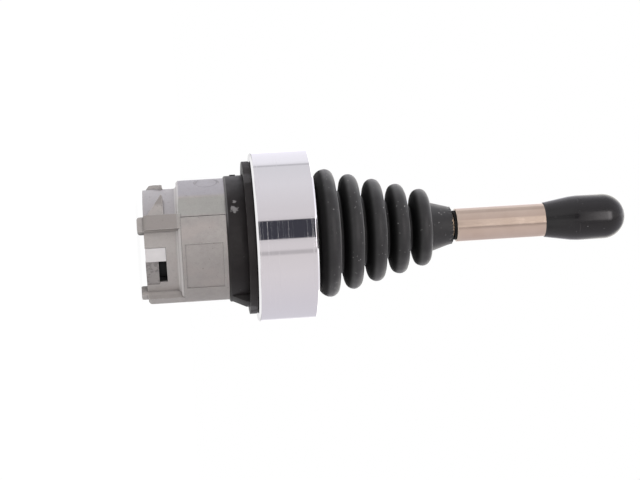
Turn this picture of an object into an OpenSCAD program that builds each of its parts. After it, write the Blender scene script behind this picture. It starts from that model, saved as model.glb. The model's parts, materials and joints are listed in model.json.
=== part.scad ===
// Two-way joystick for a 22 mm panel hole. A die-cast head is clamped in the panel, and a
// lever under a rubber bellows rocks on a cross pin and works two sprung plungers.
// Millimetres. The origin is where the lever's axis meets the face of the panel.
// +Z runs up the lever to the knob, and +Y points at the locating key.

/* [Panel hole and locating sleeve] */
// Diameter of the round hole in the panel
panel_hole_d = 22.5; // [22.3:0.1:23.1]
// Radial room between the hole and the locating sleeve
panel_gap = 0.05; // [0.02:0.01:0.15]
// How far the locating sleeve reaches into the hole
sleeve_len = 3.4; // [2.4:0.1:4.4]
// Wall of the locating sleeve
sleeve_wall = 0.9; // [0.7:0.1:1.1]
// Width of the locating key
key_w = 3; // [2:0.1:3.2]
// Height of the locating key above the sleeve
key_h = 1.2; // [0.8:0.1:1.4]
// Height of the two crush nubs that centre the sleeve
nub_h = 0.15; // [0.05:0.05:0.3]

/* [Gasket] */
// Thickness of the panel gasket
gasket_t = 1.4; // [1:0.1:2]
// Outer diameter of the panel gasket
gasket_d = 27.2; // [26.6:0.1:28.6]

/* [Housing, outside] */
// Radial step from the sleeve down to the barrel behind it
barrel_relief = 0.35; // [0.25:0.05:0.5]
// Length of the barrel behind the sleeve
barrel_len = 8.4; // [7:0.1:10]
// Height of the raised pad on the barrel
pad_rise = 0.15; // [0.05:0.05:0.2]
// Depth of the fine grooves beside the pad
seam_depth = 0.25; // [0.1:0.05:0.35]
// Radial step from the barrel down to the skirt
skirt_step = 1.35; // [1.2:0.05:1.5]
// Length of the skirt behind the barrel
skirt_len = 5.9; // [5.4:0.1:6.6]
// Wall of the skirt
skirt_wall = 1.2; // [1:0.05:1.3]
// Width of the two long ribs on the skirt
rib_w = 2.7; // [2:0.1:3.2]
// How far a rib's tongue stands out behind the skirt
tongue_len = 1.1; // [0.8:0.1:1.8]
// Height of the sprung-collar lugs on the far side of the skirt
lug_h = 0.8; // [0.4:0.1:1]
// Height of the flat-topped lugs where they meet the ribs
rib_lug_h = 0.4; // [0.3:0.05:0.6]
// Length of a lug along the skirt
lug_len = 3.4; // [2.6:0.1:3.8]
// Fillet where the skirt meets the barrel
root_fillet = 0.6; // [0.3:0.1:0.8]

/* [Bayonet slots] */
// Width of the open end of each slot
slot_w = 2.5; // [2:0.1:3]
// Depth of each slot from the skirt's edge
slot_depth = 3.6; // [3:0.1:4]
// Width of the slot's side arm along the skirt
arm_w = 1.4; // [1:0.05:1.6]
// Angle that the side arm spans
arm_span = 26; // [18:1:28]

/* [Bezel] */
// Outer diameter of the bezel
bezel_d = 30.2; // [29.6:0.1:32]
// Height of the bezel over the gasket
bezel_h = 11.1; // [10.6:0.1:12.4]
// Wall of the bezel round the housing
bezel_wall = 2; // [1.6:0.1:2.2]
// Thickness of the lip that closes the bezel's front
lip_t = 1.6; // [1.2:0.1:2]
// How far the lip reaches in over the foot of the bellows
lip_w = 3.4; // [3:0.1:3.6]
// Width of the bevel round the bezel's front face
bevel_w = 1.4; // [0.8:0.1:1.8]
// Drop of that bevel
bevel_drop = 0.8; // [0.3:0.05:1]

/* [Bellows] */
// Number of folds
folds = 5; // [4:1:6]
// Distance from one fold to the next
fold_pitch = 4.2; // [3.9:0.1:4.6]
// Diameter over the widest fold, next to the bezel
first_fold_d = 22.9; // [22.4:0.1:24]
// Diameter over the narrowest fold
last_fold_d = 13.9; // [13:0.1:15]
// Thickness of one fold
fold_t = 2.9; // [2.6:0.05:3.2]
// Depth of the groove between two folds
fold_depth = 3.5; // [2.8:0.1:3.8]
// Width of that groove at its bottom
groove_w = 0.5; // [0.3:0.05:0.6]
// Wall of the rubber
boot_wall = 0.9; // [0.7:0.05:1.1]
// Height of the first fold's middle above the bezel
first_fold_rise = 2.2; // [2.1:0.1:2.8]
// Radial room between the bezel's lip and the straight root of the bellows
root_gap = 0.4; // [0.2:0.1:0.6]
// Thickness of the clamped foot
boot_foot_t = 1.4; // [1:0.1:1.6]
// Length of the collar that grips the lever
boot_collar_len = 4.1; // [3.4:0.1:5]
// Diameter of that collar where it leaves the last fold
boot_collar_d = 8.8; // [8:0.1:9.6]
// Diameter of that collar at its end
boot_collar_end_d = 6.6; // [6:0.1:7.4]
// Thickness of the steel ring over the foot
clamp_ring_t = 0.4; // [0.3:0.05:0.6]

/* [Lever] */
// Diameter of the steel rod
rod_d = 4; // [3.6:0.1:4.4]
// Outer diameter of the tube over the rod
tube_d = 6; // [5.6:0.1:6.4]
// Length of that tube
tube_len = 16.1; // [12:0.1:22]
// Wall of the tube
tube_wall = 0.35; // [0.25:0.05:0.5]
// Gap between the collar of the bellows and the tube's open end
tube_gap = 0.8; // [0.5:0.05:1.2]
// Length of the bush in the tube's open end
bush_len = 3; // [2:0.1:5]
// How far that bush stands out of the tube
bush_out = 0.4; // [0.1:0.05:0.6]
// Length of the knob
knob_len = 15; // [13:0.1:18]
// Largest diameter of the knob
knob_d = 8.1; // [7.8:0.1:9]
// Diameter of the knob where it meets the tube
knob_base_d = 6.3; // [6.1:0.1:7.2]
// Length of the knob's flare
flare_len = 5.5; // [4:0.1:7]
// Depth of the threaded insert in the knob
insert_len = 7.6; // [6:0.1:8.6]
// Outer diameter of the insert
insert_d = 5.4; // [5:0.1:5.6]

/* [Rocker and pivot] */
// Height of the pivot above the panel's face
pivot_z = 4.6; // [4.4:0.1:4.9]
// Diameter of the pivot pin
pin_d = 2.5; // [2:0.1:2.8]
// Running clearance of the rocker on its pin, on the radius
pin_gap = 0.05; // [0.03:0.01:0.08]
// Length of the rocker's barrel along the pin
rocker_len = 9; // [8:0.1:10]
// Diameter of the rocker's barrel
rocker_d = 6.4; // [5.8:0.1:6.6]
// Height of the rocker's socket above the pivot
socket_h = 7.5; // [6.5:0.1:8]
// Diameter of the socket
socket_d = 6.6; // [6.2:0.1:7]
// Distance of the cross pin from the socket's open end
cross_pin_inset = 2; // [1.6:0.1:2.4]
// Width of the rocker's arms
arm_x = 4; // [3:0.1:5]
// Thickness of the rocker's arms
arm_t = 1.9; // [1.4:0.1:2.1]
// Radius of the nose at each arm's end
nose_r = 1.6; // [1.3:0.05:1.7]
// Diameter of the cross pin that locks the rod in the rocker
cross_pin_d = 1.5; // [1:0.1:1.6]
// Wall of the bushes on the pin
bush_wall = 1.1; // [0.8:0.1:1.4]

/* [Plungers] */
// Distance from the axis to each plunger
plunger_y = 5.5; // [5.4:0.05:5.6]
// Diameter of a plunger's stem
stem_d = 2.8; // [2.4:0.1:2.8]
// Sliding room round a stem, on the radius
stem_gap = 0.1; // [0.06:0.02:0.16]
// Gap between a nose and its plunger at rest
rest_gap = 0.1; // [0.06:0.02:0.2]
// Thickness of a plunger's foot
foot_t = 1.2; // [0.8:0.1:1.4]
// Width of a plunger's foot
foot_w = 7; // [5:0.1:8]
// Outer diameter of the spring seats
seat_d = 4; // [3.6:0.1:4.2]
// Thickness of the spring seats
seat_t = 0.45; // [0.3:0.05:0.6]
// Wire of the plunger springs
wire_d = 0.36; // [0.28:0.02:0.42]
// Turns of the plunger springs
turns = 5; // [4:0.5:6]
// Length of the plunger springs
spring_len = 4.4; // [4:0.1:4.8]

/* [Plunger guide] */
// How far the guide's front face lies behind the locating sleeve
guide_drop = 2.8; // [2.4:0.1:3.2]
// Wall of the guide's outer ring
guide_wall = 0.6; // [0.5:0.05:0.8]
// Thickness of the guide's floor
guide_floor = 2; // [1.2:0.1:2.4]
// Height of the shoulder that stops the guide
shoulder = 0.3; // [0.2:0.05:0.4]
// Wall of the tubes round the plungers
guide_tube_wall = 0.8; // [0.6:0.1:1]
// Thickness of the web between the tubes
guide_web = 1.2; // [0.8:0.1:2]

/* [Assembly] */
// Room between pieces that are pushed together
push_gap = 0.05; // [0.02:0.01:0.08]

/* [Hidden] */
$fn = 96;

overlap = 0.5;   // how far one form of a piece runs into the next
past = 1;        // how far a cutter runs past what it cuts

// Radii of the head, from the hole inwards
sleeve_r = panel_hole_d / 2 - panel_gap;
neck_r = sleeve_r - sleeve_wall - push_gap;
barrel_r = sleeve_r - barrel_relief;
pad_r = barrel_r + pad_rise;
skirt_r = barrel_r - skirt_step;
rear_bore_r = skirt_r - skirt_wall;
front_bore_r = rear_bore_r - shoulder;
bezel_r = bezel_d / 2;
bezel_bore_r = bezel_r - bezel_wall;
flange_r = bezel_bore_r - push_gap;

// Heights of the head, from the rear to the front
barrel_front = -sleeve_len;
barrel_rear = barrel_front - barrel_len;
skirt_rear = barrel_rear - skirt_len;
bezel_front = gasket_t + bezel_h;
lip_rear = bezel_front - lip_t;
foot_front = lip_rear - clamp_ring_t;
flange_front = foot_front - boot_foot_t;

// Angles round the axis: the ribs at 3 and 12 o'clock, the slots between them
rib_angles = [0, 90];
slot_mid = 45;
slot_turns = [0, 180];
slot_mouth = 2 * asin(slot_w / 2 / skirt_r);
slot_span = slot_mouth + arm_span;
pad_start = -2.7;
barrel_bevel = 0.35;
pad_bevel = pad_rise + 0.3;
pad_rear = barrel_rear + 0.12;
pad_span = 2 * (slot_mid - pad_start);
flat_span = 21.7;
flat_angles = [pad_start - flat_span / 2, pad_start + pad_span + flat_span / 2];
seam_span = 1.1;
seam_angles = [pad_start - seam_span, pad_start + pad_span];
lug_span = 24;
rib_half = asin(rib_w / 2 / barrel_r);
far_lug = 83;
// Each lug: the angle of its long end, the way in which it tapers, its outermost radius
// and how far out its flat face lies
lug_r = skirt_r + lug_h;
rib_lug_face = skirt_r + rib_lug_h;
lugs = [[-rib_half, -1, barrel_r, rib_lug_face], [90 + rib_half, 1, barrel_r, rib_lug_face],
        [-far_lug, 1, lug_r, lug_r], [90 + far_lug, -1, lug_r, lug_r]];
lug_ramp = 1;
tongue_drop = 0.9;
corner_r = 0.5;
panel_recess = 0.12;
mark_r = 2.1;
mark_angle = -48;
mark_z = barrel_front - mark_r - 0.8;

// Bellows
lip_bore_r = bezel_bore_r - lip_w;
boot_root_r = lip_bore_r - root_gap;
fold_r0 = first_fold_d / 2;
fold_step = (first_fold_d - last_fold_d) / 2 / (folds - 1);
fold_z0 = bezel_front + first_fold_rise;
fold_top = fold_z0 + (folds - 1) * fold_pitch + fold_t / 2;
collar_end = fold_top + boot_collar_len;

// Lever
rod_r = rod_d / 2;
tube_r = tube_d / 2;
tube_start = collar_end + tube_gap;
tube_bore_r = tube_r - tube_wall;
knob_start = tube_start + tube_len;
knob_end = knob_start + knob_len;
knob_r = knob_d / 2;
insert_start = knob_start + 0.4;
rod_end = insert_start + insert_len - 1;
clip_t = 0.5;
clip_z = collar_end - boot_collar_len - boot_wall - clip_t - 0.6;
clip_groove = 0.4;

// Rocker
pin_r = pin_d / 2;
rocker_r = rocker_d / 2;
socket_floor = 2.6;
cross_pin_z = pivot_z + socket_h - cross_pin_inset;

// Plungers
stem_r = stem_d / 2;
plunger_top = pivot_z - nose_r - rest_gap;
guide_r = rear_bore_r - push_gap;
guide_ring_r = guide_r - guide_wall;
guide_rear = skirt_rear + 0.2;
guide_front = barrel_front - guide_drop;
seat_z = guide_front + spring_len;
foot_z = skirt_rear + 0.3;
seat_groove = 0.3;
foot_room = 0.3;
tilt_max = 25;
stroke = plunger_y * sin(tilt_max);
guide_tube_rear = foot_z + foot_t + stroke + 0.3;

// ---- shapes that repeat ----

// A ring or disc between two heights, turned from its walls
module ring(outer_r, inner_r, low, high) {
    rotate_extrude()
        translate([inner_r, low]) square([outer_r - inner_r, high - low]);
}

// A stretch of ring between two angles
module ring_part(outer_r, inner_r, low, high, start, span) {
    rotate([0, 0, start]) rotate_extrude(angle = span)
        translate([inner_r, low]) square([outer_r - inner_r, high - low]);
}

// What a rounded outside corner takes off, with its corner at the origin
module corner_cut(r) {
    difference() {
        translate([-r, -r]) square(r + past);
        translate([-r, -r]) circle(r);
    }
}

// A rod along X with its middle at the origin
module cross_rod(r, length) {
    rotate([0, 90, 0]) cylinder(r = r, h = length, center = true);
}

// ---- housing ----

// A rib's side view, radius to the right and height up, with its outer rear corner rounded
module rib_profile() {
    difference() {
        translate([rear_bore_r, skirt_rear])
            square([barrel_r - rear_bore_r, barrel_rear - skirt_rear + overlap]);
        translate([barrel_r, skirt_rear]) mirror([0, 1]) corner_cut(corner_r + 0.2);
    }
}

// The rounded tongue behind a rib, seen along the radius
module tongue_outline() {
    half = rib_w / 2;
    difference() {
        translate([-half, skirt_rear - tongue_len]) square([rib_w, tongue_len + overlap]);
        for (side = [-1, 1])
            scale([side, 1]) translate([half, skirt_rear - tongue_len])
                mirror([0, 1]) corner_cut(corner_r);
    }
}

module rib() {
    rotate([90, 0, 0]) linear_extrude(rib_w, center = true) rib_profile();
    translate([rear_bore_r, 0, 0]) rotate([90, 0, 90])
        linear_extrude(barrel_r - tongue_drop - rear_bore_r) tongue_outline();
}

// A lug: a ramp from the rear, a top that is flat or follows the skirt, and a steep front,
// tapered to a point along the skirt
module lug(long_end, way, top, face) {
    low = skirt_rear + 0.1;
    high = skirt_rear + lug_len;
    wide = face * tan(lug_span);
    rotate([0, 0, long_end]) scale([1, way, 1]) intersection() {
        rotate_extrude(angle = lug_span)
            polygon([[skirt_r - overlap, low - overlap], [top, low + lug_ramp],
                     [top, high], [skirt_r - overlap, high + overlap / 2]]);
        // The slanting rear edge of the lug, seen along the radius
        rotate([90, 0, 90]) linear_extrude(face)
            polygon([[-past, low - past], [0, low + 0.3], [wide, high - 0.2],
                     [wide + past, high + past], [-past, high + past]]);
    }
}

// One L-shaped slot through the skirt's wall, and the low strip of wall behind its arm
module bayonet_slot() {
    start = slot_mid - slot_span / 2;
    deep = skirt_rear + slot_depth;
    ring_part(skirt_r + past, rear_bore_r - past, skirt_rear - past, deep, start, slot_mouth);
    ring_part(skirt_r + past, rear_bore_r - past, deep - arm_w, deep,
              start, slot_mouth + arm_span);
    ring_part(skirt_r + past, skirt_r - panel_recess, skirt_rear - past, deep - arm_w,
              start, slot_mouth + arm_span + 3);
}

module barrel_outside() {
    difference() {
        rotate_extrude()
            polygon([[0, barrel_rear], [barrel_r - barrel_bevel, barrel_rear],
                     [barrel_r, barrel_rear + barrel_bevel], [barrel_r, barrel_front],
                     [0, barrel_front]]);
        for (a = flat_angles)
            rotate([0, 0, a])
                translate([barrel_r * cos(flat_span / 2), -barrel_r, barrel_rear - past])
                    cube([past, 2 * barrel_r, barrel_len + 2 * past]);
        for (a = seam_angles)
            ring_part(barrel_r + past, barrel_r - seam_depth, barrel_rear + barrel_bevel,
                      barrel_front + past, a, seam_span);
        rotate([0, 0, mark_angle])
            translate([barrel_r - panel_recess, 0, mark_z])
                rotate([0, 90, 0]) cylinder(r = mark_r, h = past);
    }
    difference() {
        rotate([0, 0, pad_start]) rotate_extrude(angle = pad_span)
            polygon([[skirt_r, pad_rear], [pad_r - pad_bevel, pad_rear],
                     [pad_r, pad_rear + pad_bevel], [pad_r, barrel_front - 0.1],
                     [skirt_r, barrel_front - 0.1]]);
        ring_part(pad_r + past, pad_r - panel_recess, barrel_rear + 1, barrel_front - 0.8,
                  slot_mid - slot_mouth * 1.5, slot_mouth * 3);
    }
}

module housing() {
    color([0.67, 0.65, 0.64]) difference() {
        union() {
            barrel_outside();
            ring(neck_r, 0, barrel_front - overlap, gasket_t + overlap);
            ring(flange_r, 0, gasket_t, flange_front);
            ring(skirt_r, 0, skirt_rear, barrel_rear + overlap);
            // The fillet between skirt and barrel
            rotate_extrude() difference() {
                translate([skirt_r - overlap, barrel_rear - root_fillet])
                    square([root_fillet + overlap, root_fillet + overlap]);
                translate([skirt_r + root_fillet, barrel_rear - root_fillet])
                    circle(root_fillet);
            }
            for (a = rib_angles) rotate([0, 0, a]) rib();
            for (l = lugs) lug(l[0], l[1], l[2], l[3]);
        }
        // The bore, with the shoulder that stops the plunger guide
        ring(rear_bore_r, 0, skirt_rear - tongue_len - past, guide_front);
        ring(front_bore_r, 0, guide_front - past, flange_front + past);
        for (a = slot_turns) rotate([0, 0, a]) bayonet_slot();
        // Cross hole for the pivot pin
        translate([0, 0, pivot_z]) cross_rod(pin_r + 0.01, 2 * flange_r + past);
    }
}

// ---- front of the head ----

module bezel() {
    color([0.82, 0.82, 0.84]) rotate_extrude() difference() {
        translate([lip_bore_r, gasket_t]) square([bezel_r - lip_bore_r, bezel_h]);
        translate([0, gasket_t - past]) square([bezel_bore_r, lip_rear - gasket_t + past]);
        translate([bezel_r, bezel_front])
            polygon([[-bevel_w, past], [-bevel_w, 0], [0, -bevel_drop], [past, -bevel_drop],
                     [past, past]]);
        translate([bezel_r, gasket_t]) rotate(-45) square([past, 0.35], center = true);
        translate([lip_bore_r, bezel_front]) scale([-1, 1]) corner_cut(0.3);
    }
}

module panel_gasket() {
    bore_r = sleeve_r + nub_h + push_gap;
    color([0.17, 0.17, 0.17]) difference() {
        rotate_extrude() difference() {
            translate([bore_r, 0]) square([gasket_d / 2 - bore_r, gasket_t]);
            translate([gasket_d / 2, gasket_t]) corner_cut(0.3);
        }
        // Notch that lets the key through
        translate([-key_w / 2 - push_gap, 0, -past])
            cube([key_w + 2 * push_gap, sleeve_r + key_h + push_gap, gasket_t / 2 + past]);
    }
}

// The sloping key, in side view: radius to the right, height up
module key_profile() {
    polygon([[neck_r + push_gap, barrel_front + 0.4], [sleeve_r, barrel_front + 0.4],
             [sleeve_r + key_h, -0.6], [sleeve_r + key_h, gasket_t / 2 - push_gap],
             [neck_r + push_gap, gasket_t / 2 - push_gap]]);
}

module locating_sleeve() {
    color([0.15, 0.15, 0.15]) {
        rotate_extrude() difference() {
            translate([neck_r + push_gap, barrel_front])
                square([sleeve_wall, sleeve_len + gasket_t]);
            translate([sleeve_r, barrel_front]) mirror([0, 1]) corner_cut(0.3);
        }
        rotate([90, 0, 90]) linear_extrude(key_w, center = true) key_profile();
        for (side = [-1, 1])
            rotate([0, 0, -90 + side * 20])
                translate([sleeve_r - overlap, -1, barrel_front / 2 - 0.5])
                    cube([overlap + nub_h, 2, 1]);
    }
}

// ---- bellows ----

// Radius at the bottom of the grooves, so many pitches above the first fold
function groove_r(pitches) = fold_r0 - fold_depth - pitches * fold_step;

// One fold's outline, from the groove under it round its tip to the groove above it
function fold_outline(i, shrink) =
    let (half = fold_t / 2, last = i == folds - 1, mid = fold_z0 + i * fold_pitch,
         tip = fold_r0 - i * fold_step - half,
         wide = fold_pitch / 2 - groove_w / 2 - shrink)
    concat([[groove_r(i - 0.5) - shrink, mid - wide]],
           [for (a = [-90 : 15 : 90])
               [tip + (half - shrink) * cos(a), mid + (half - shrink) * sin(a)]],
           last ? [] : [[groove_r(i + 0.5) - shrink, mid + wide]]);

// Section through the bellows, shrunk by the wall for its inside
module folds_section(shrink) {
    bottom = fold_z0 - fold_pitch / 2;
    polygon(concat([[0, bottom + shrink]],
                   [for (i = [0 : folds - 1]) each fold_outline(i, shrink)],
                   [[0, fold_top - shrink]]));
}

module boot() {
    root_in = boot_root_r - boot_wall;
    color([0.2, 0.2, 0.2]) rotate_extrude() difference() {
        union() {
            folds_section(0);
            translate([0, flange_front]) square([flange_r - 0.3, boot_foot_t]);
            translate([0, flange_front]) square([boot_root_r, fold_z0 - flange_front]);
            polygon([[0, fold_top - overlap], [boot_collar_d / 2, fold_top - overlap],
                     [boot_collar_d / 2, fold_top + 0.3],
                     [boot_collar_end_d / 2, collar_end], [0, collar_end]]);
        }
        folds_section(boot_wall);
        translate([0, flange_front - past]) square([root_in, fold_z0 - flange_front + past]);
        translate([0, fold_top - boot_wall - overlap])
            square([rod_r + push_gap, boot_collar_len + boot_wall + 2 * overlap]);
    }
}

module clamp_ring() {
    color([0.7, 0.7, 0.7]) ring(flange_r - 0.2, lip_bore_r, foot_front, lip_rear);
}

// ---- pivot ----

module pivot_pin() {
    color([0.6, 0.6, 0.6]) translate([0, 0, pivot_z]) cross_rod(pin_r, 2 * flange_r - 0.2);
}

// Two flanged bushes that centre the rocker on its pin
module pivot_bushes() {
    bush_r = pin_r + bush_wall;
    inner = rocker_len / 2 + 0.15;
    outer = sqrt(pow(front_bore_r, 2) - pow(bush_r, 2)) - push_gap;
    color([0.9, 0.88, 0.82]) for (side = [-1, 1])
        translate([side * (inner + outer) / 2, 0, pivot_z]) difference() {
            cross_rod(bush_r, outer - inner);
            cross_rod(pin_r + 0.02, outer - inner + past);
        }
}

module rocker() {
    bore = pin_r + pin_gap;
    color([0.62, 0.62, 0.6]) difference() {
        translate([0, 0, pivot_z]) {
            cross_rod(rocker_r, rocker_len);
            cylinder(d = socket_d, h = socket_h);
            cube([arm_x, 2 * plunger_y, arm_t], center = true);
            for (side = [-1, 1]) translate([0, side * plunger_y, 0]) cross_rod(nose_r, arm_x);
        }
        translate([0, 0, pivot_z]) cross_rod(bore, rocker_len + past);
        translate([0, 0, pivot_z + socket_floor]) cylinder(r = rod_r + 0.02, h = socket_h);
        translate([0, 0, cross_pin_z]) cross_rod(cross_pin_d / 2 + 0.01, socket_d + past);
    }
}

module cross_pin() {
    color([0.55, 0.55, 0.55]) translate([0, 0, cross_pin_z])
        cross_rod(cross_pin_d / 2, socket_d - 0.6);
}

// ---- lever ----

module lever_rod() {
    color([0.65, 0.65, 0.65]) difference() {
        translate([0, 0, pivot_z + socket_floor + push_gap])
            cylinder(r = rod_r, h = rod_end - pivot_z - socket_floor - push_gap);
        translate([0, 0, cross_pin_z]) cross_rod(cross_pin_d / 2 + 0.01, rod_d + past);
        ring(rod_r + past, rod_r - clip_groove, clip_z - push_gap, clip_z + clip_t + push_gap);
    }
}

// Open spring clip in the rod's groove, under the bellows' collar
module rod_clip() {
    color([0.5, 0.5, 0.5]) translate([0, 0, clip_z]) linear_extrude(clip_t) difference() {
        circle(rod_r + 1.4);
        circle(rod_r - clip_groove + 0.02);
        translate([-(rod_r + 2) / 3, 0]) square([(rod_r + 2) / 1.5, rod_r + 2]);
    }
}

// Bush that centres the tube's open end on the rod
module ferrule() {
    low = tube_start - bush_out;
    color([0.1, 0.1, 0.1])
        ring(tube_bore_r - push_gap / 2, rod_r + push_gap / 2, low, low + bush_len);
}

module lever_tube() {
    edge_r = 0.15;
    color([0.72, 0.66, 0.58]) rotate_extrude() difference() {
        translate([tube_bore_r, tube_start]) square([tube_wall, tube_len]);
        translate([tube_r, tube_start]) mirror([0, 1]) corner_cut(edge_r);
        translate([tube_r, knob_start]) corner_cut(edge_r);
    }
}

module knob_insert() {
    color([0.75, 0.62, 0.35])
        ring(insert_d / 2, rod_r + 0.02, insert_start, insert_start + insert_len);
}

// A straight flare, a straight grip and a half-round end, with a fine parting groove
module knob() {
    flare_end = knob_start + flare_len;
    bore_r = insert_d / 2 + push_gap / 2;
    color([0.12, 0.12, 0.12]) rotate_extrude() difference() {
        union() {
            polygon([[0, knob_start], [knob_base_d / 2 - 0.15, knob_start],
                     [knob_base_d / 2, knob_start + 0.15],
                     [knob_r - 0.12, flare_end - 0.7], [knob_r, flare_end + 0.7],
                     [knob_r, knob_end - knob_r], [0, knob_end - knob_r]]);
            intersection() {
                translate([0, knob_end - knob_r]) circle(knob_r);
                translate([0, flare_end]) square([knob_r, knob_len]);
            }
        }
        translate([0, knob_start - past])
            square([bore_r, insert_start + insert_len + push_gap - knob_start + past]);
        translate([knob_r, flare_end + 1.6]) circle(0.08, $fn = 16);
    }
}

// ---- plungers ----

// A stem with a groove for its spring seat, and a D-shaped foot
module plunger(side) {
    color([0.93, 0.92, 0.9]) difference() {
        union() {
            translate([0, side * plunger_y, foot_z])
                cylinder(r = stem_r, h = plunger_top - foot_z);
            intersection() {
                ring(guide_ring_r - foot_room, 0, foot_z, foot_z + foot_t);
                translate([-foot_w / 2, side > 0 ? plunger_y - stem_r - 0.6 : -past - guide_r,
                           foot_z])
                    cube([foot_w, past + guide_r - (plunger_y - stem_r - 0.6), foot_t]);
            }
        }
        translate([0, side * plunger_y, 0])
            ring(stem_r + past, stem_r - seat_groove, seat_z - push_gap,
                 seat_z + seat_t + push_gap);
    }
}

module plunger_up() {
    plunger(1);
}

module plunger_down() {
    plunger(-1);
}

// Open clip in the stem's groove: the spring pushes it up
module seat(side) {
    color([0.55, 0.55, 0.55]) translate([0, side * plunger_y, seat_z])
        linear_extrude(seat_t) difference() {
            circle(seat_d / 2);
            circle(stem_r - seat_groove + 0.02);
            rotate(side * 90 - 90) translate([-stem_r / 1.6, 0])
                square([stem_r * 1.25, seat_d]);
        }
}

module seat_up() {
    seat(1);
}

module seat_down() {
    seat(-1);
}

// Wire swept along a helix, one ring of points at a time
module coil(mean_r, length, wire, turns) {
    sides = 8;
    steps = ceil(turns * 20);
    rise = (length - wire) / steps;
    points = [for (i = [0 : steps]) for (j = [0 : sides - 1])
        let (a = 360 * turns * i / steps, b = 360 * j / sides,
             r = mean_r + wire / 2 * cos(b))
        [r * cos(a), r * sin(a), wire / 2 + rise * i + wire / 2 * sin(b)]];
    skin = [for (i = [0 : steps - 1]) for (j = [0 : sides - 1])
        let (k = (j + 1) % sides)
        [i * sides + j, i * sides + k, (i + 1) * sides + k, (i + 1) * sides + j]];
    ends = [[for (j = [sides - 1 : -1 : 0]) j], [for (j = [0 : sides - 1]) steps * sides + j]];
    polyhedron(points, concat(skin, ends), convexity = 6);
}

module plunger_spring(side) {
    room = 0.1;
    color([0.6, 0.6, 0.6]) translate([0, side * plunger_y, guide_front + push_gap])
        coil(stem_r + room + wire_d / 2, spring_len - 2 * push_gap, wire_d, turns);
}

module spring_up() {
    plunger_spring(1);
}

module spring_down() {
    plunger_spring(-1);
}

// Moulded guide: a ring with a floor, a tube round each plunger and a web between them
module plunger_guide() {
    tube_out = stem_r + stem_gap + guide_tube_wall;
    color([0.1, 0.1, 0.1]) difference() {
        union() {
            difference() {
                ring(guide_r, 0, guide_rear, guide_front);
                ring(guide_ring_r, 0, guide_rear - past, guide_front - guide_floor);
            }
            intersection() {
                ring(guide_r, 0, guide_tube_rear, guide_front);
                union() {
                    for (side = [-1, 1])
                        translate([0, side * plunger_y, guide_tube_rear])
                            cylinder(r = tube_out, h = guide_front - guide_tube_rear);
                    translate([-guide_web / 2, -plunger_y, guide_tube_rear])
                        cube([guide_web, 2 * plunger_y, guide_front - guide_tube_rear]);
                }
            }
        }
        for (side = [-1, 1])
            translate([0, side * plunger_y, guide_rear - past])
                cylinder(r = stem_r + stem_gap, h = guide_front - guide_rear + 2 * past);
    }
}

// White keys pushed into the open ends of the two slots
module slot_keys() {
    play = asin(push_gap / skirt_r);
    deep = skirt_rear + slot_depth;
    color([0.93, 0.92, 0.9])
        for (a = slot_turns)
            ring_part(skirt_r - push_gap, rear_bore_r, skirt_rear + push_gap, deep - push_gap,
                      a + slot_mid - slot_span / 2 + play, slot_mouth - 2 * play);
}

housing();
bezel();
panel_gasket();
locating_sleeve();
boot();
clamp_ring();
pivot_pin();
pivot_bushes();
plunger_guide();
slot_keys();
spring_up();
spring_down();
rocker();
cross_pin();
lever_rod();
rod_clip();
ferrule();
lever_tube();
knob_insert();
knob();
plunger_up();
plunger_down();
seat_up();
seat_down();
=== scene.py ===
import json
import math

import bpy
from mathutils import Matrix, Vector, noise

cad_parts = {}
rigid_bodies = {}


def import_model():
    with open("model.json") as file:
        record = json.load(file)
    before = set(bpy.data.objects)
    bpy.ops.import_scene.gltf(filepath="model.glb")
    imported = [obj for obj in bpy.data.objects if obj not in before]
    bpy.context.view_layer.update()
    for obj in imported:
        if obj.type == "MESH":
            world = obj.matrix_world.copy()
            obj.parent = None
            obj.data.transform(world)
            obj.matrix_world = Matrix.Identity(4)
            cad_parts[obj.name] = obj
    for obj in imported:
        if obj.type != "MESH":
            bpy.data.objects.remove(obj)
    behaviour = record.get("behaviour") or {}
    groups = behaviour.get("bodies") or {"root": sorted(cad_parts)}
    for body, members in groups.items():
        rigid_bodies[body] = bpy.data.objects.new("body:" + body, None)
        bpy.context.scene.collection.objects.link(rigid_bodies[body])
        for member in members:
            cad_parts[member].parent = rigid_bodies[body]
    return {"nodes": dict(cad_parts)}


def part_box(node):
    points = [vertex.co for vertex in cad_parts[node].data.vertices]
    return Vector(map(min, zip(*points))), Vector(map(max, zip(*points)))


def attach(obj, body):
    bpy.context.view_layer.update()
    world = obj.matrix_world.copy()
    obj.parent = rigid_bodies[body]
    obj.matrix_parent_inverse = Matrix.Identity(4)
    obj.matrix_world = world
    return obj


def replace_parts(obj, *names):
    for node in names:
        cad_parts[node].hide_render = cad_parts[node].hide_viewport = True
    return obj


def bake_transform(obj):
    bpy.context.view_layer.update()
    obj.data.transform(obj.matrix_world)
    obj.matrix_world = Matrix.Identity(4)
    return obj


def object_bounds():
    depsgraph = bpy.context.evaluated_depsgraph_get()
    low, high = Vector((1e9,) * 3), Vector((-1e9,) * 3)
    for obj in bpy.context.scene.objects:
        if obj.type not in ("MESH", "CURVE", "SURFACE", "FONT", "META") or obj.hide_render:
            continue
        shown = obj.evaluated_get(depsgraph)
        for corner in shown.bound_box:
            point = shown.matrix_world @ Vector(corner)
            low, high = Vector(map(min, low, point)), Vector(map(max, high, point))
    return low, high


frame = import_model()
cad_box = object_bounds()


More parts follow.
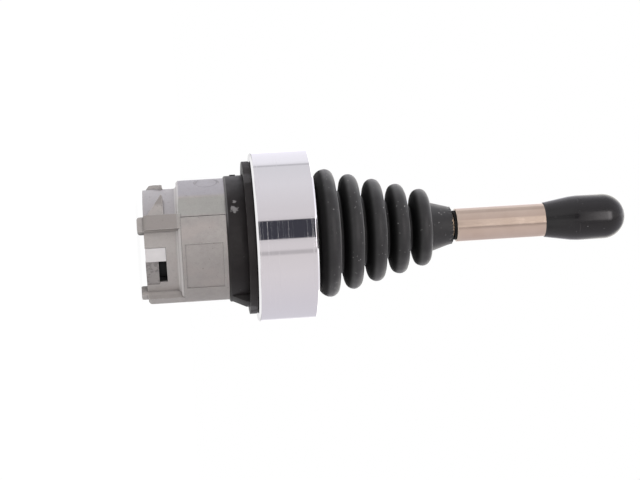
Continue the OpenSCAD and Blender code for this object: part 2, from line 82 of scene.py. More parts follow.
# ---- camera ----
# A long lens looks square on to the head's side, a little from behind the panel, with the
# lever lying across the frame.
mm = 0.001
lever_axis = Vector((0, 0, 1))
side_angle = math.radians(19.3)
rear_yaw = math.radians(4.7)
lever_rise = math.radians(3.5)
camera_distance = 286.6 * mm
middle_height = 13.4 * mm
middle_drop = 1.2 * mm
to_side = Vector((math.cos(side_angle), math.sin(side_angle), 0))
to_top = to_side.cross(lever_axis)
forward = lever_axis * math.sin(rear_yaw) - to_side * math.cos(rear_yaw)
along = (lever_axis - forward * lever_axis.dot(forward)).normalized()
across = along.cross(forward)
right = along * math.cos(lever_rise) - across * math.sin(lever_rise)
upward = along * math.sin(lever_rise) + across * math.cos(lever_rise)
target = lever_axis * middle_height - upward * middle_drop
bpy.ops.object.camera_add(location=target - forward * camera_distance)
camera = bpy.context.object
camera.data.lens = 90
camera.data.sensor_width = 36
camera.data.clip_start = 10 * mm
camera.data.clip_end = 20000 * mm
camera.rotation_mode = "QUATERNION"
camera.rotation_quaternion = Matrix((right, upward, -forward)).transposed().to_quaternion()
bpy.context.scene.camera = camera
bpy.context.scene.view_settings.view_transform = "Standard"


# ---- light tent ----
# A white cloth tent stands round the object: greyer at the camera's side and brighter behind,
# with a dark opening for the lens, thin seams, and a bright panel that lights the knob.
class Wire:
    """A socket of a node tree, on which sums are written as plain expressions."""

    def __init__(self, tree, socket=None):
        self.tree = tree
        self.socket = socket

    def node(self, kind, settings=(), sockets=(), out=0):
        """Adds any node: its settings come first, then the values or wires of its sockets."""
        made = self.tree.nodes.new(kind)
        for name, value in dict(settings).items():
            if name == "stops":
                set_stops(made.color_ramp, value)
            else:
                setattr(made, name, value)
        for name, value in dict(sockets).items():
            if isinstance(value, Wire):
                self.tree.links.new(value.socket, made.inputs[name])
            else:
                made.inputs[name].default_value = value
        return Wire(self.tree, made.outputs[out]) if made.outputs else None

    def math(self, operation, *values):
        return self.node("ShaderNodeMath", {"operation": operation}, enumerate(values))

    def vector(self, operation, *values, out=0):
        sockets = enumerate((self, *values))
        return self.node("ShaderNodeVectorMath", {"operation": operation}, sockets, out)

    def __add__(self, other):
        return self.math("ADD", self, other)

    def __sub__(self, other):
        return self.math("SUBTRACT", self, other)

    def __rsub__(self, other):
        return self.math("SUBTRACT", other, self)

    def __mul__(self, other):
        return self.math("MULTIPLY", self, other)

    __radd__ = __add__
    __rmul__ = __mul__

    def rise(self, low, high):
        """0 below low, 1 above high, and a smooth slope between them."""
        settings = {"interpolation_type": "SMOOTHSTEP"}
        return self.node("ShaderNodeMapRange", settings, {0: self, 1: low, 2: high})

    def band(self, low, high, soft):
        """1 from low to high, falling to 0 over soft on both sides."""
        return self.rise(low - soft, low) * (1 - self.rise(high, high + soft))

    def dot(self, direction):
        """How far this point or direction reaches along another direction."""
        return self.vector("DOT_PRODUCT", direction, out="Value")

    def larger(self, other):
        return self.math("MAXIMUM", self, other)

    def ramp(self, *stops):
        """A colour that this value picks from stops of (position, colour)."""
        return self.node("ShaderNodeValToRGB", {"stops": stops}, {0: self})

    def between(self, first, second):
        """The first colour where this is 0, the second where it is 1, and a mix of both between."""
        ends = [(*end, 1) if isinstance(end, tuple) else end for end in (first, second)]
        sockets = {"Factor": self, 6: ends[0], 7: ends[1]}
        return self.node("ShaderNodeMix", {"data_type": "RGBA"}, sockets, 2)

    def tint(self, other, share):
        """This colour, mixed with another one by a share."""
        return share.between(self, other)


def set_stops(ramp, stops):
    while len(ramp.elements) < len(stops):
        ramp.elements.new(1)
    for element, (position, colour) in zip(ramp.elements, stops):
        element.position = position
        element.color = (*colour, 1)


world = bpy.data.worlds.new("tent")
world.use_nodes = True
world.node_tree.nodes.clear()
bpy.context.scene.world = world
tent = Wire(world.node_tree)
ray = tent.node("ShaderNodeTexCoord")
# Turn is the angle round the lever, from the camera's side upwards, and lean is the angle
# towards the lever's end. Both are in degrees, as are the ends and soft edges of the bands
degree = math.degrees(1)
turn = tent.math("ARCTAN2", ray.dot(to_top), ray.dot(to_side)) * degree
lean = tent.math("ARCSINE", ray.dot(lever_axis)) * degree
way_round = turn * (1 / 360) + 0.5
cloth = way_round.ramp(
    (0.045, (1.25, 1.23, 1.25)), (0.085, (0.69, 0.67, 0.73)), (0.22, (0.69, 0.66, 0.71)),
    (0.35, (0.73, 0.69, 0.72)), (0.43, (0.70, 0.66, 0.68)), (0.60, (0.70, 0.67, 0.70)),
    (0.70, (0.76, 0.74, 0.78)), (0.797, (0.72, 0.71, 0.75)), (0.826, (0.92, 0.91, 0.97)),
    (0.93, (1.0, 0.98, 1.07)), (0.98, (1.6, 1.6, 1.65)))
shadow = (0.05, 0.05, 0.064)
bright_cloth = (2, 1.95, 1.85)
panel_light = (4.2, 4, 4.05)
ahead = lean.rise(8.5, 10.5)
lens_opening = turn.band(-4, 19.6, 1.6) * (1 - lean.rise(7.5, 9.5)) * lean.rise(-40, -30)
seams = turn.band(-24, -22, 3.5) * 0.3 + turn.band(108.8, 110.4, 2.2) * 0.3
creases = (turn.band(84, 97, 7) * 0.17 + turn.band(-34, -26, 4) * 0.2) * ahead
dim_side = turn.band(0, 15, 14) * (1 - ahead) * 0.1
dark = lens_opening * 0.94 + seams + creases + dim_side
glare = turn.band(-14, 27, 4) * ahead * 0.13
rim_light = tent.math("ABSOLUTE", turn).rise(115, 150) * lean.band(14.5, 40, 2) * 0.85
panel = turn.band(-18, 22, 2) * lean.band(16.8, 36.5, 2.5)
mirrored = cloth.tint(shadow, dark).tint(bright_cloth, glare + rim_light).tint(panel_light, panel)
# Matte surfaces take a softer light, which is weakest from below. What looks past the object
# meets plain white
soft_light = way_round.ramp(
    (0.0, (1.3, 1.3, 1.36)), (0.18, (0.78, 0.75, 0.77)), (0.40, (0.66, 0.64, 0.645)),
    (0.56, (1.12, 1.085, 1.07)), (0.66, (1.15, 1.14, 1.14)), (0.78, (0.94, 0.935, 1.01)),
    (1.0, (1.3, 1.3, 1.36)))
on_gloss = tent.node("ShaderNodeLightPath", out="Is Glossy Ray").larger(
    tent.node("ShaderNodeLightPath", out="Is Transmission Ray"))
in_view = tent.node("ShaderNodeLightPath", out="Is Camera Ray")
light = soft_light.tint(mirrored, on_gloss).tint((1, 1, 1), in_view)
sky = tent.node("ShaderNodeBackground", (), {"Color": light})
tent.node("ShaderNodeOutputWorld", (), {"Surface": sky})

# One broad lamp above adds the soft shine along the top, and polished metal doesn't show it
lamp_distance = 500 * mm
lamp_way = (to_top * 0.9 - to_side * 0.35 + lever_axis * 0.25).normalized()
bpy.ops.object.light_add(type="AREA", location=lamp_way * lamp_distance)
lamp = bpy.context.object
lamp.data.shape = "SQUARE"
lamp.data.size = 400 * mm
lamp.data.energy = 1.2
lamp.data.color = (0.96, 0.97, 1)
lamp.visible_glossy = False
lamp.rotation_mode = "QUATERNION"
lamp.rotation_quaternion = lamp_way.to_track_quat("Z", "Y")


# ---- floor ----
# A pale sheet just under the head, bright enough to run into the white of the backdrop. Polished
# metal sees it a little greyer some way off, with the soft dark bars of the tent's frame.
def new_material(name):
    """A bare material, and a wire in its tree that carries the points of the piece."""
    material = bpy.data.materials.new(name)
    material.use_nodes = True
    material.node_tree.nodes.clear()
    place = Wire(material.node_tree).node("ShaderNodeTexCoord", out="Object")
    return material, place


def spread(place):
    """Distance of a point from the lever's axis."""
    return place.vector("MULTIPLY", (1, 1, 0)).vector("LENGTH", out="Value")


floor_gap = 0.1 * mm
floor_size = 6000 * mm
bpy.ops.mesh.primitive_plane_add(size=floor_size, location=(0, 0, cad_box[0].z - floor_gap))
floor = bpy.context.object
floor.name = "floor"
floor_sheet, place = new_material("floor_sheet")
sheet = place.node("ShaderNodeBsdfDiffuse", (), {"Color": (0.95, 0.95, 0.95, 1)})
seen = place.node("ShaderNodeLightPath", out="Is Camera Ray")
reflected = place.node("ShaderNodeLightPath", out="Is Glossy Ray")
around = place.math("ARCTAN2", place.dot(to_top), place.dot(to_side)) * degree
bars = around.band(0, 12, 8) * 0.6
for start, end in ((-150, -132), (-66, -46), (56, 76), (128, 150)):
    bars = around.band(start, end, 9) + bars
far = spread(place).rise(40 * mm, 170 * mm) * (1 - spread(place).rise(600 * mm, 1100 * mm))
greyer = reflected * far * (bars * 0.6 + 0.25)
paper = greyer.between((1, 1, 1), (0.1, 0.1, 0.11))
glow = place.node("ShaderNodeEmission", (), {"Color": paper, "Strength": 1.03})
# How much of the floor glows: a little where it lights matte surfaces, and most of it where it
# is seen or reflected
matte_share = 0.2
seen_share = 0.93
reflected_share = 0.9
more = seen * (seen_share - matte_share) + reflected * (reflected_share - matte_share)
mixed = place.node("ShaderNodeMixShader", (), {0: more + matte_share, 1: sheet, 2: glow})
place.node("ShaderNodeOutputMaterial", (), {"Surface": mixed})
floor.data.materials.append(floor_sheet)


# ---- housing ----
# The body that goes through the panel, die-cast in zinc and left as it came from the mould:
# a fine matte grain, cloudy patches, small pits, and edges softened by tumbling.
def shader(place, normal=None, **sockets):
    """A surface shader that has these sockets, such as base_color=..."""
    named = {name.replace("_", " ").title(): value for name, value in sockets.items()}
    named = {name.replace("Ior", "IOR"): value for name, value in named.items()}
    if normal is not None:
        named["Normal"] = normal
    return place.node("ShaderNodeBsdfPrincipled", (), named)


def finish(place, normal=None, **sockets):
    """Ends a material with one such shader."""
    surface = shader(place, normal, **sockets)
    place.node("ShaderNodeOutputMaterial", (), {"Surface": surface})


def cloudy(place, size, detail=3, rough=0.5, stretch=(1, 1, 1)):
    """Cloudy noise from 0 to 1 whose largest lumps are about this size."""
    point = place
    if stretch != (1, 1, 1):
        squeeze = tuple(1 / share for share in stretch)
        point = place.vector("MULTIPLY", squeeze)
    sockets = {"Vector": point, "Scale": 1 / size, "Detail": detail, "Roughness": rough}
    return place.node("ShaderNodeTexNoise", (), sockets)


def bump(place, height, depth, below=None):
    """A normal from a height of 0 to 1 that stands for this depth."""
    sockets = {"Height": height, "Distance": depth, "Strength": 1}
    if below is not None:
        sockets["Normal"] = below
    return place.node("ShaderNodeBump", (), sockets)


def soft_edges(place, radius):
    """A normal that runs round every sharp edge with this radius."""
    return place.node("ShaderNodeBevel", {"samples": 6}, {"Radius": radius})


nodes = frame["nodes"]


def dress(names, material):
    """Gives these CAD nodes a material in every slot."""
    for name in names:
        piece = nodes[name]
        if not piece.data.materials:
            piece.data.materials.append(material)
        for slot in piece.material_slots:
            slot.material = material


def away(place, point):
    """Distance from this point, given in mm."""
    return place.vector("DISTANCE", [value * mm for value in point], out="Value")


def on_wall(radius, degrees, height):
    """The point in mm on a round wall at this angle about the lever and at this height."""
    angle = math.radians(degrees)
    return radius * math.cos(angle), radius * math.sin(angle), height


def openness(place, distance):
    """1 out in the open, falling to 0 in corners and narrow grooves."""
    settings = {"samples": 8, "only_local": True}
    return place.node("ShaderNodeAmbientOcclusion", settings, {"Distance": distance}, "AO")


def worn(place, radius):
    """1 along outer edges that handling has rubbed, and 0 elsewhere."""
    true_normal = place.node("ShaderNodeNewGeometry", out="Normal")
    turned_by = 1 - soft_edges(place, radius).dot(true_normal)
    return turned_by.rise(0.01, 0.12) * openness(place, 0.6 * mm).rise(0.8, 0.95)


rear_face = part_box("housing")[0].z / mm
skirt_length = 7
barrel_rear = rear_face + skirt_length
barrel_radius = 10.85
skirt_radius = 9.5
top_side = (0.33, -0.94, 0)
mark_height = -6.6
mark_radius = 2
cast_zinc, place = new_material("cast_zinc")
height = place.dot(lever_axis)
round_out = spread(place)
upper = place.dot(top_side)
# The parts of the casting: skirt, ribs and strips behind the barrel, the barrel's rear edge with
# a painted highlight, the flat along its upper side, a painted shadow line across its pad, its
# pin mark, and the bore, painted dark as shade
behind = 1 - height.rise((barrel_rear - 0.2) * mm, barrel_rear * mm)
ribs = round_out.rise((skirt_radius + 0.6) * mm, (skirt_radius + 0.8) * mm) * behind
strip = (1 - round_out.rise((skirt_radius - 0.08) * mm, (skirt_radius - 0.04) * mm)) * behind
rearwards = place.node("ShaderNodeNewGeometry", out="Normal").dot(-lever_axis).rise(0.25, 0.6)
# painted highlight: a light band on the rear-facing faces at the barrel's rear edge
step = height.band((barrel_rear - 0.5) * mm, (barrel_rear + 0.35) * mm, 0.1 * mm) * rearwards
facet = upper.band(4.6 * mm, 7.3 * mm, 0.3 * mm) * (1 - behind)
# painted shadow: a thin dark line across the pad, just in front of the barrel's rear edge
painted_shadow_line = height.band((barrel_rear + 0.5) * mm, (barrel_rear + 0.56) * mm, 0.06 * mm)
painted_shadow_line = painted_shadow_line * round_out.rise((barrel_radius + 0.05) * mm, (barrel_radius + 0.1) * mm)
pin_mark = away(place, on_wall(barrel_radius, -50, mark_height)).band(
    (mark_radius - 0.05) * mm, (mark_radius + 0.05) * mm, 0.08 * mm)
# painted shade: the bore inside the skirt made nearly black
painted_bore_shade = (1 - round_out.rise((skirt_radius - 0.4) * mm, (skirt_radius - 0.25) * mm)) * height.rise(
    (rear_face + 1.3) * mm, (rear_face + 1.6) * mm)
# The cast skin: grain, patches and pits, with painted shade in corners and narrow grooves,
# and a painted cool sheen on the upper side
grain = cloudy(place, 0.28 * mm, 4, 0.75)
mottle = cloudy(place, 0.9 * mm, 4, 0.6)
clouds = cloudy(place, 5 * mm, 3)
warmth = cloudy(place, 3.5 * mm, 2, 0.5, (1, 1, 2))
pits = cloudy(place, 0.45 * mm, 1).rise(0.72, 0.78)
# painted shade: darker in corners and narrow grooves, where less light reaches
painted_corner_shade = 1 - openness(place, 0.35 * mm).rise(0.72, 0.97)
raised = round_out.rise((skirt_radius + 0.1) * mm, (skirt_radius + 0.2) * mm) * behind
# painted sheen: a cool tint on the upper side of the skirt and the barrel, where light falls
painted_cool_sheen = upper.rise(2.6 * mm, 4 * mm) * behind + upper.rise(7.5 * mm, 8.1 * mm) * (1 - behind)
tone = (clouds * 0.5 + mottle * 0.5).ramp(
    (0.3, (0.335, 0.315, 0.30)), (0.5, (0.385, 0.362, 0.345)), (0.7, (0.43, 0.405, 0.385)))
for colour, share in (
        ((0.44, 0.39, 0.37), warmth.rise(0.5, 0.7) * 0.5),
        ((0.375, 0.365, 0.41), painted_cool_sheen * (1 - raised) * 0.65),
        ((0.37, 0.375, 0.35), facet * 0.6),
        ((0.5, 0.475, 0.46), behind * 0.3),
        ((0.29, 0.265, 0.25), ribs * (upper.rise(-3 * mm, 0) * 0.5 + 0.3)),
        # painted shade: the barrel darker towards its lower side, as if lit from above
        ((0.3, 0.28, 0.27), (1 - upper.rise(-5 * mm, 3 * mm)) * (1 - behind) * 0.3),
        ((0.26, 0.24, 0.235), grain.rise(0.5, 0.85) * 0.7),
        ((0.3, 0.285, 0.28), strip * 0.6),
        ((0.17, 0.16, 0.155), painted_corner_shade * 0.4),
        ((0.13, 0.12, 0.12), strip * mottle.rise(0.5, 0.62) * 0.5),
        ((0.16, 0.15, 0.15), (pits * 0.5).larger(pin_mark * 0.45)),
        ((0.15, 0.14, 0.14), painted_shadow_line * 0.5),
        ((0.01, 0.01, 0.01), painted_bore_shade * 0.95),
        # worn edges, with the painted highlight on the barrel's rear edge
        ((0.7, 0.68, 0.67), (worn(place, 0.12 * mm) * 0.8).larger(step * 0.6))):
    tone = tone.tint(colour, share)
skin = bump(place, grain * (1 + strip * 3) + mottle, 0.035 * mm, soft_edges(place, 0.14 * mm))
finish(place, bump(place, 1 - pits.larger(pin_mark), 0.05 * mm, skin), base_color=tone,
       metallic=0.35, roughness=grain * 0.2 + 0.42)
dress(["housing"], cast_zinc)


# ---- bezel ----
# The chromed ring that screws down over the head, turned and polished, with a softly bevelled
# front, a chamfered rear edge and faint turning lines round its wall.
turning_steps = 192


def eased(corners, arc_steps=6):
    """Corners (radius, height, rounding) of a closed outline, each rounded by an arc. A short
    straight stretch beside each arc keeps the shading of the walls flat."""
    outline = []
    for index, (radius, height, rounding) in enumerate(corners):
        here = Vector((radius, height))
        if rounding == 0:
            outline.append(here)
            continue
        before = (Vector(corners[index - 1][:2]) - here).normalized()
        after = (Vector(corners[(index + 1) % len(corners)][:2]) - here).normalized()
        half = before.angle(after) / 2
        cut = rounding / math.tan(half)
        middle = here + (before + after).normalized() * (rounding / math.sin(half))
        start, end = here + before * cut - middle, here + after * cut - middle
        sweep = start.angle_signed(end)
        stretch = rounding * 0.4
        outline.append(middle + start + before * stretch)
        for step in range(arc_steps + 1):
            outline.append(middle + Matrix.Rotation(-sweep * step / arc_steps, 2) @ start)
        outline.append(middle + end + after * stretch)
    return outline


def turned(name, outline, steps=turning_steps, smooth_angle=35):
    """A turned piece: its closed outline of (radius, height) points in mm is drawn point by
    point and spun round the lever's axis."""
    join_gap = 0.0005 * mm
    bpy.ops.object.select_all(action="DESELECT")
    points = [Vector((radius * mm, 0, height * mm)) for radius, height in outline]
    bpy.ops.mesh.primitive_plane_add(size=mm, location=points[0])
    piece = bpy.context.object
    bpy.ops.object.transform_apply(location=True)
    bpy.ops.object.mode_set(mode="EDIT")
    bpy.ops.mesh.merge(type="CENTER")
    for before, after in zip(points, points[1:] + points[:1]):
        bpy.ops.mesh.extrude_region_move(TRANSFORM_OT_translate={"value": after - before})
    bpy.ops.mesh.select_all(action="SELECT")
    bpy.ops.mesh.remove_doubles(threshold=join_gap)
    bpy.ops.mesh.spin(steps=steps, angle=math.tau, center=(0, 0, 0), axis=(0, 0, 1))
    bpy.ops.mesh.select_all(action="SELECT")
    bpy.ops.mesh.remove_doubles(threshold=join_gap)
    bpy.ops.mesh.normals_make_consistent(inside=False)
    bpy.ops.object.mode_set(mode="OBJECT")
    bpy.ops.object.shade_smooth_by_angle(angle=math.radians(smooth_angle))
    piece.name = name
    return piece


def finished(piece, material, slot, *stands_for):
    """Gives a piece its material and the nodes it stands for; its slot is not used."""
    piece.data.materials.append(material)
    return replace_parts(piece, *stands_for)


def span(node):
    """Lowest and highest point of a node along the lever, in mm."""
    low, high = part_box(node)
    return low[2] / mm, high[2] / mm


def reach(node):
    """Largest radius of a round node, in mm."""
    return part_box(node)[1][0] / mm


bezel_rear, bezel_front = span("bezel")
bezel_radius = reach("bezel")
bezel_wall = 2
bezel_bore = bezel_radius - bezel_wall
lip_bore = 9.7
lip_rear = bezel_front - 1.6
ring_front = bezel_front - 0.6
bevel_width = 0.5
bevel_drop = 0.35
rear_chamfer = 0.3
chrome, place = new_material("chrome")
turning_lines = cloudy(place, 0.22 * mm, 4, 0.7, (60, 60, 1))
scratches = cloudy(place, 0.2 * mm, 3, 0.7, (300, 300, 1)).rise(0.52, 0.66)
haze = cloudy(place, 2.5 * mm, 3).rise(0.5, 0.75)
finish(place, bump(place, turning_lines, 0.0012 * mm), base_color=(0.88, 0.87, 0.88, 1),
       metallic=1.0, roughness=scratches * 0.2 + haze * 0.04 + 0.03)
bezel = turned("bezel_ring", eased([
    (lip_bore, lip_rear, 0), (lip_bore, ring_front, 0.3),
    (bezel_radius - bevel_width, ring_front, 0.12), (bezel_radius, ring_front - bevel_drop, 0.12),
    (bezel_radius, bezel_rear + rear_chamfer, 0.2),
    (bezel_radius - rear_chamfer, bezel_rear, 0.1),
    (bezel_bore, bezel_rear, 0.15), (bezel_bore, lip_rear, 0)]))
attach(finished(bezel, chrome, "chrome", "bezel"), "head")


# ---- locating sleeve and gasket ----
# Two black rings that look like one from outside, both a little scuffed: a plastic sleeve whose
# key sets the head's angle in the panel's hole, and a soft rubber flange that seals the panel.
def merged(node, name):
    """A copy of a CAD node whose loose triangles are joined up."""
    bpy.ops.object.select_all(action="DESELECT")
    nodes[node].select_set(True)
    bpy.context.view_layer.objects.active = nodes[node]
    bpy.ops.object.duplicate()
    piece = bpy.context.object
    piece.name = name
    bpy.ops.object.parent_clear(type="CLEAR_KEEP_TRANSFORM")
    bpy.ops.object.mode_set(mode="EDIT")
    bpy.ops.mesh.select_all(action="SELECT")
    bpy.ops.mesh.remove_doubles(threshold=0.001 * mm)
    bpy.ops.object.mode_set(mode="OBJECT")
    piece.data.materials.clear()
    return piece


def softened(node, name, width):
    """Such a copy with its sharp edges bevelled."""
    piece = merged(node, name)
    bpy.ops.object.mode_set(mode="EDIT")
    bpy.ops.mesh.dissolve_limited(angle_limit=math.radians(0.5))
    bpy.ops.object.mode_set(mode="OBJECT")
    edges = piece.modifiers.new("edges", "BEVEL")
    edges.width = width
    edges.segments = 2
    edges.limit_method = "ANGLE"
    edges.angle_limit = math.radians(50)
    bpy.ops.object.modifier_apply(modifier="edges")
    bpy.ops.object.shade_smooth_by_angle(angle=math.radians(30))
    return piece


moulding, place = new_material("black_moulding")
height = place.dot(lever_axis)
upper = place.dot(top_side)
sleeve_rear = span("locating_sleeve")[0]
sleeve_radius = 11.2
gasket_radius = reach("panel_gasket")
rub_height = -1.9
# Two pale spots on the gasket's rim, given by angle, height, size and strength
pale = 0
for degrees, level, size, strength in ((-30, 0.6, 1.1, 0.1), (85, 0.2, 0.8, 0.2)):
    spot = away(place, on_wall(gasket_radius, degrees, level))
    pale = (1 - spot.rise(size * mm, (size + 0.4) * mm)) * strength + pale
# Two ragged scuffs on the sleeve's wall, given by angle and size
ragged = cloudy(place, 0.7 * mm, 5, 0.75).rise(0.3, 0.7) * 0.6
for degrees, size in ((-7, 1.3), (-15, 0.7)):
    scuff = away(place, on_wall(sleeve_radius, degrees, rub_height))
    ragged = (1 - scuff.rise(0, size * mm)) + ragged
# Faint marks all over and along the edges, and a painted highlight round the upper side of
# the sleeve's rear end
faint = cloudy(place, 1.2 * mm, 5, 0.7).rise(0.66, 0.74) * 0.5
edge_marks = worn(place, 0.15 * mm) * cloudy(place, 1.5 * mm, 3).rise(0.4, 0.6) * 0.3
rear_end = 1 - height.rise((sleeve_rear + 0.25) * mm, (sleeve_rear + 0.4) * mm)
painted_rear_highlight = rear_end * upper.rise(1 * mm, 4 * mm) * 0.3
# the marks, and with them the painted highlight at the rear end
marks = (ragged.rise(0.72, 1) * 0.7).larger(faint).larger(edge_marks).larger(painted_rear_highlight)
# dust, and painted light: paler in cloudy patches towards the upper side of the sleeve and gasket
dust_and_painted_top_light = upper.rise(6 * mm, 10.5 * mm) * (cloudy(place, 1.5 * mm, 3) + 0.1)
black = cloudy(place, 2 * mm, 3).ramp((0.3, (0.009, 0.0065, 0.0065)), (0.7, (0.014, 0.011, 0.011)))
black = black.tint((0.06, 0.057, 0.06), dust_and_painted_top_light * (1 - height.rise(-0.2 * mm, 0)))
finish(place, bump(place, cloudy(place, 0.4 * mm, 3), 0.012 * mm),
       base_color=black.tint((0.3, 0.29, 0.29), marks).tint((0.3, 0.3, 0.31), pale),
       roughness=0.48, specular_ior_level=0.32)
sleeve = softened("locating_sleeve", "sleeve", 0.28 * mm)
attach(finished(sleeve, moulding, "black_plastic", "locating_sleeve"), "head")
gasket = softened("panel_gasket", "gasket", 0.15 * mm)
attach(finished(gasket, moulding, "black_rubber", "panel_gasket"), "head")


# ---- bellows ----
# The rubber boot, moulded in one: a foot that the bezel clamps, five folds that grow smaller
# towards the lever, and a collar that grips the rod, cut off a little raggedly.
fold_count = 5
fold_pitch = 4.2
fold_thickness = 2.9
first_fullness = 0.65
fold_depth = 3.5
groove_width = 0.5
rubber_wall = 0.9
tip_steps = 6
first_radius = 11.45
fold_step = 1.125
first_fold = bezel_front + 2.2
root_radius = 9.3
collar_radius = 4.4
collar_end_radius = 3.3
rod_gap = 0.05
foot_thickness = 1.4
foot_rear, collar_end = span("boot")
foot_top = foot_rear + foot_thickness


def fold_points(index, shrink):
    """One fold from the groove below it round its tip to the groove above it. The first one is
    fuller towards the bezel."""
    middle = first_fold + index * fold_pitch
    crest = first_radius - index * fold_step
    groove = crest - fold_depth + fold_step / 2 - shrink
    wide = fold_pitch / 2 - groove_width / 2 - shrink
    points = [(groove, middle - wide)] if index > 0 else []
    for step in range(-tip_steps, tip_steps + 1):
        angle = math.radians(90) * step / tip_steps
        full = fold_thickness / 2 + (first_fullness if index == 0 and step < 0 else 0)
        bow = full - shrink
        points.append((crest - full + bow * math.cos(angle), middle + bow * math.sin(angle)))
    if index < fold_count - 1:
        points.append((groove - fold_step, middle + wide))
    return points


outside = [point for index in range(fold_count) for point in fold_points(index, 0)]
inside = [point for index in range(fold_count) for point in fold_points(index, rubber_wall)]
first_rear = first_fold - fold_thickness / 2 - first_fullness
fold_top = first_fold + (fold_count - 1) * fold_pitch + fold_thickness / 2
foot_radius = reach("boot")
rod_radius = reach("lever_rod")
bellows = turned("bellows", [
    (root_radius - rubber_wall, foot_rear), (foot_radius, foot_rear), (foot_radius, foot_top),
    (root_radius, foot_top), (root_radius, first_rear), *outside,
    (collar_radius + 0.25, fold_top), (collar_radius, fold_top + 0.3),
    (collar_end_radius + 0.22, collar_end - 0.8), (collar_end_radius + 0.1, collar_end - 0.35),
    (collar_end_radius, collar_end), (rod_radius + rod_gap, collar_end),
    (rod_radius + rod_gap, fold_top - rubber_wall), *reversed(inside),
    (root_radius - rubber_wall, first_rear + rubber_wall)], steps=160, smooth_angle=50)
# The cut end of the collar is uneven, the whole skin wavers a little, and each point remembers
# how far it lies before or behind the crest of its fold
waver = 0.06
waver_length = 1.6
tear_width = 0.25
tear_depth = 0.4
flank = bellows.data.attributes.new("flank", "FLOAT", "POINT")
for vertex in bellows.data.vertices:
    point = vertex.co / mm
    outwards = Vector((point.x, point.y, 0)).normalized()
    if point.z > foot_top:
        vertex.co += outwards * noise.noise(point / waver_length) * waver * mm
    if point.z > collar_end - 0.1 and outwards.dot(point) > rod_radius + 0.3:
        tear = noise.noise(outwards * 4) + noise.noise(outwards * 9)
        vertex.co += (outwards * tear * tear_width + lever_axis * min(tear, 0) * tear_depth) * mm
    index = min(max(round((point.z - first_fold) / fold_pitch), 0), fold_count - 1)
    past_crest = point.z - first_fold - index * fold_pitch
    flank.data[vertex.index].value = past_crest / (fold_thickness / 2)
rubber, place = new_material("rubber")
across_fold = place.node("ShaderNodeAttribute", {"attribute_name": "flank"}, (), "Fac")
# painted shade: the rear flank of each fold, turned towards the bezel, takes a darker, duller copy
# of the rubber; the crests and front flanks keep the lit copy with its dust specks
rear_flank = 1 - across_fold.rise(-0.8, -0.25)
specks = cloudy(place, 0.5 * mm, 1).rise(0.72, 0.76) * cloudy(place, 4 * mm, 1).rise(0.35, 0.55)
black = cloudy(place, 1.5 * mm, 4).ramp(
    (0.35, (0.009, 0.0085, 0.009)), (0.65, (0.014, 0.0135, 0.014)))
grained = bump(place, cloudy(place, 0.3 * mm, 3), 0.012 * mm)
lit_rubber_with_specks = shader(place, grained, base_color=black.tint((0.4, 0.39, 0.39), specks * 0.7),
                 roughness=0.5, specular_ior_level=0.45, sheen_weight=0.3)
painted_shade_rubber = shader(place, grained, base_color=(0.005, 0.005, 0.005, 1), roughness=0.7,
               specular_ior_level=0.25)
skin = place.node("ShaderNodeMixShader", (), {0: rear_flank, 1: lit_rubber_with_specks, 2: painted_shade_rubber})
place.node("ShaderNodeOutputMaterial", (), {"Surface": skin})
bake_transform(finished(bellows, rubber, "black_rubber", "boot"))


# ---- lever tube ----
# A thin drawn tube over the rod, nickel plated with a warm tint, open at its rear end where a
# black bush centres it.
tube_rear, tube_front = span("lever_tube")
tube_radius = reach("lever_tube")
tube_wall = 0.35
tube_bore = tube_radius - tube_wall
nickel, place = new_material("warm_nickel")
drawn = cloudy(place, 0.25 * mm, 3, 0.6, (1, 1, 30))
blotches = cloudy(place, 1.6 * mm, 2).rise(0.5, 0.7)
plating = cloudy(place, 4 * mm, 2).ramp(
    (0.3, (0.665, 0.535, 0.435)), (0.7, (0.715, 0.585, 0.485)))
finish(place, bump(place, drawn, 0.0015 * mm), base_color=plating, metallic=1.0,
       roughness=blotches * 0.05 + 0.09)
tube = turned("tube", eased([
    (tube_bore, tube_rear, 0.05), (tube_bore, tube_front, 0), (tube_radius, tube_front, 0),
    (tube_radius, tube_rear, 0.12)], arc_steps=3), steps=128)
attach(finished(tube, nickel, "nickel_tube", "lever_tube"), "lever")


# ---- knob ----
# The black plastic grip, moulded over a threaded brass insert: a straight flare, a straight
# grip and a half-round end.
knob_rear, knob_end = span("knob")
knob_radius = reach("knob")
flare_end = knob_rear + 5.5
flare_ease = 0.7
ease_drop = 0.12
mouth_radius = 3
mouth_chamfer = 0.15
knob_bore = 2.725
bore_end = knob_rear + 8.05
end_steps = 24
knob_outline = [
    (knob_bore, knob_rear), (mouth_radius, knob_rear),
    (mouth_radius + mouth_chamfer, knob_rear + mouth_chamfer),
    (knob_radius - ease_drop, flare_end - flare_ease), (knob_radius, flare_end + flare_ease)]
for step in range(end_steps):
    angle = math.radians(90 * step / end_steps)
    knob_outline.append((knob_radius * math.cos(angle),
                         knob_end - knob_radius + knob_radius * math.sin(angle)))
knob_outline += [(0, knob_end), (0, bore_end), (knob_bore, bore_end)]
knob_plastic, place = new_material("knob_plastic")
height = place.dot(lever_axis)
parting = height.band((flare_end + 0.45) * mm, (flare_end + 0.5) * mm, 0.08 * mm)
parting = parting * cloudy(place, 2 * mm, 1).rise(0.45, 0.6)
specks = cloudy(place, 0.5 * mm, 1).rise(0.74, 0.78) * cloudy(place, 5 * mm, 1).rise(0.45, 0.6)
black = (parting * 0.35).between((0.004, 0.003, 0.0037), (0.05, 0.05, 0.05))
finish(place, bump(place, cloudy(place, 0.4 * mm, 3), 0.003 * mm),
       base_color=black.tint((0.3, 0.3, 0.3), specks * 0.6),
       roughness=cloudy(place, 3 * mm, 3) * 0.08 + 0.17, sheen_weight=0.12)
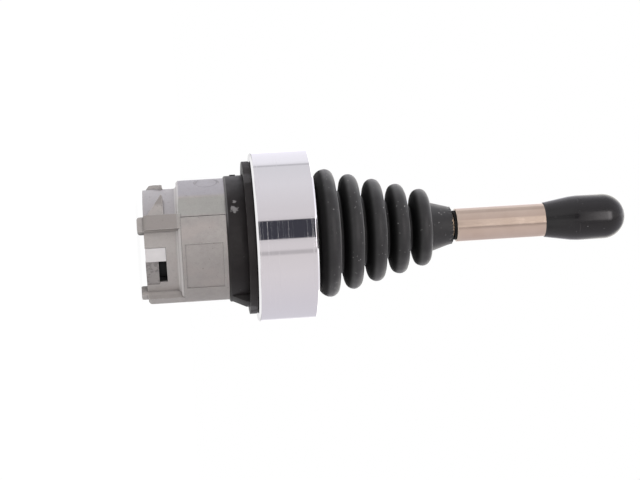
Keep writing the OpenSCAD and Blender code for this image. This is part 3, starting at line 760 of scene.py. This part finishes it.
grip = turned("grip", knob_outline, steps=128, smooth_angle=30)
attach(finished(grip, knob_plastic, "knob_plastic", "knob"), "lever")


# ---- white mouldings ----
# The keys in the slots' mouths, the plungers and the bushes of the pivot: natural nylon,
# injection moulded, slightly translucent and a little clouded.
nylon, place = new_material("white_nylon")
milk = cloudy(place, 2 * mm, 3).ramp((0.3, (0.71, 0.69, 0.69)), (0.7, (0.77, 0.75, 0.75)))
finish(place, bump(place, cloudy(place, 0.5 * mm, 3), 0.008 * mm, soft_edges(place, 0.08 * mm)),
       base_color=milk, roughness=0.42)
dress(["slot_keys", "plunger_up", "plunger_down", "pivot_bushes"], nylon)


# ---- black mouldings ----
# The plunger guide, pressed into the skirt, and the bush in the tube's rear end. Both are
# moulded in glass-filled plastic and keep its dry, dull skin.
glass_filled, place = new_material("black_plastic")
dull = cloudy(place, 0.6 * mm, 4).ramp(
    (0.35, (0.004, 0.004, 0.004)), (0.7, (0.009, 0.0085, 0.0085)))
finish(place, bump(place, cloudy(place, 0.25 * mm, 3), 0.01 * mm, soft_edges(place, 0.1 * mm)),
       base_color=dull, roughness=0.6, specular_ior_level=0.25)
dress(["plunger_guide", "ferrule"], glass_filled)


# ---- steel and brass ----
# The inner parts: bright turned pins, grey sintered rocker, stamped rings and clips, the
# yellow-passivated rod that shows beside the bellows, and the brass insert in the knob.
def metal(name, pieces, low, high, roughness, depth, stretch=(1, 1, 1)):
    """A metal between two colours, with tool marks of this depth that may run along an axis."""
    material, place = new_material(name)
    tone = cloudy(place, 1.5 * mm, 4, 0.6).ramp((0.3, low), (0.7, high))
    marks = cloudy(place, 0.3 * mm, 3, 0.6, stretch)
    finish(place, bump(place, marks, depth, soft_edges(place, 0.08 * mm)), base_color=tone,
           metallic=1.0, roughness=marks * 0.15 + roughness)
    dress(pieces, material)
    return material


metal("turned_steel", ["pivot_pin", "cross_pin"], low=(0.55, 0.55, 0.56), high=(0.62, 0.62, 0.62),
      roughness=0.16, depth=0.002 * mm, stretch=(20, 1, 20))
metal("sintered_steel", ["rocker"], low=(0.22, 0.215, 0.21), high=(0.32, 0.31, 0.3),
      roughness=0.4, depth=0.015 * mm)
metal("stamped_steel", ["clamp_ring", "rod_clip", "seat_up", "seat_down"], low=(0.5, 0.5, 0.5),
      high=(0.58, 0.58, 0.57), roughness=0.25, depth=0.003 * mm, stretch=(12, 1, 1))
metal("passivated_steel", ["lever_rod"], low=(0.62, 0.47, 0.33), high=(0.7, 0.55, 0.4),
      roughness=0.2, depth=0.002 * mm, stretch=(1, 1, 20))
metal("brass", ["knob_insert"], low=(0.72, 0.52, 0.28), high=(0.78, 0.58, 0.34),
      roughness=0.22, depth=0.002 * mm, stretch=(20, 20, 1))


# ---- plunger springs ----
# A coil of oiled spring wire on each plunger's stem. One end sits on the guide and the other
# on the plunger's clip.
spring_steel = metal("spring_steel", [], low=(0.34, 0.34, 0.35), high=(0.44, 0.44, 0.45),
                     roughness=0.2, depth=0.002 * mm)
for side, plunger in (("up", "upper_plunger"), ("down", "lower_plunger")):
    spring = "spring_" + side
    coil = merged(spring, "coil_" + side)
    bpy.ops.object.shade_smooth_by_angle(angle=math.radians(40))
    finished(coil, spring_steel, "steel", spring)
    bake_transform(coil)
